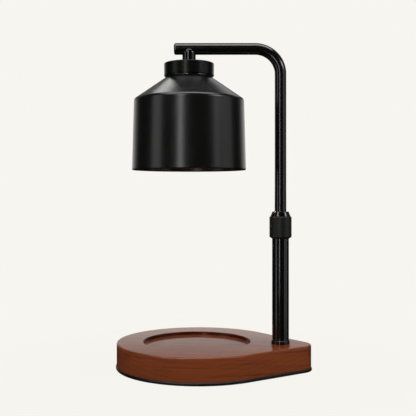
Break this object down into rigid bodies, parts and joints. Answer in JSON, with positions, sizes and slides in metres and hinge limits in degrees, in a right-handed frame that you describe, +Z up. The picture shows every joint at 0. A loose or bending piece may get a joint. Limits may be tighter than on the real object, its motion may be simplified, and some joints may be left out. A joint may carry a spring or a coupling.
{
  "type": "candle warmer lamp",
  "caption": "Free-standing warming lamp: teardrop wooden base with a round seat recess, telescoping twist-lock pole, bent arm and a downward black metal shade with a reflector bulb.",
  "frame": {"origin": "on the surface that the lamp stands on, under the centre of the base's round end", "axes": "+Z up, +X from the round end towards the pole, +Y to the rear flank with the cord inlet"},
  "size_m": [0.2042, 0.173, 0.3368],
  "materials": {
    "walnut": "glossy lacquer over straight-grained reddish walnut",
    "pad_rubber": "black rubber",
    "ballast_steel": "zinc-dipped plate",
    "plated_steel": "zinc plated",
    "satin_black": "satin black powder coat",
    "matte_black": "matte black grip",
    "gloss_black": "gloss black",
    "grommet_rubber": "black rubber",
    "nylon": "natural nylon",
    "lead_jacket": "black insulation",
    "crimp_plastic": "translucent nylon",
    "white_ceramic": "unglazed steatite",
    "brass": "bare brass",
    "reflector_glass": "mirror-coated pressed glass",
    "clear_glass": "clear glass"
  },
  "bodies": {
    "base": {"wood_base": "walnut", "base_pad": "pad_rubber", "ballast_plate": "ballast_steel", "ballast_screws": "plated_steel", "cord_grommet": "grommet_rubber", "foot_ring": "gloss_black", "lower_tube": "satin_black", "tube_plug": "plated_steel", "base_nipple": "plated_steel", "base_washer": "plated_steel", "base_nut": "plated_steel", "wire_joints": "crimp_plastic", "base_lead": "lead_jacket", "slack_lead": "lead_jacket", "lock_body": "plated_steel"},
    "collar": {"grip_collar": "matte_black", "nose_ring": "gloss_black"},
    "collet": {"split_collet": "nylon"},
    "mast": {"mast_tube": "satin_black", "guide_bush": "nylon", "arm_end_plug": "satin_black", "hanger_post": "gloss_black", "hanger_nipple": "plated_steel", "cap_washer": "plated_steel", "cap_nut": "plated_steel", "mast_lead": "lead_jacket", "shade_cap": "satin_black", "shade_shell": "satin_black", "holder_bracket": "plated_steel", "bracket_screws": "plated_steel", "lamp_holder": "white_ceramic", "holder_contacts": "brass", "holder_wires": "lead_jacket"},
    "bulb": {"bulb_cap": "white_ceramic", "bulb_pins": "plated_steel", "bulb_reflector": "reflector_glass", "bulb_lens": "clear_glass", "bulb_capsule": "clear_glass"}
  },
  "joints": [
    {"name": "collar_twist", "type": "hinge", "parent": "base", "child": "collar", "pos_m": [0.0855, 0, 0.146], "axis": [0, 0, 1], "range_deg": [0, 120]},
    {"name": "arm_swivel", "type": "hinge", "parent": "base", "child": "collet", "pos_m": [0.0855, 0, 0.151], "axis": [0, 0, 1], "range_deg": [-99, 81]},
    {"name": "height_slide", "type": "slide", "parent": "collet", "child": "mast", "axis": [0, 0, 1], "range_m": [-0.045, 0.02], "deforming": ["slack_lead"]},
    {"name": "bulb_twist", "type": "hinge", "parent": "mast", "child": "bulb", "pos_m": [-0.00774, -0.01477, 0.278], "axis": [0, 0, 1], "range_deg": [0, 25]}
  ]
}
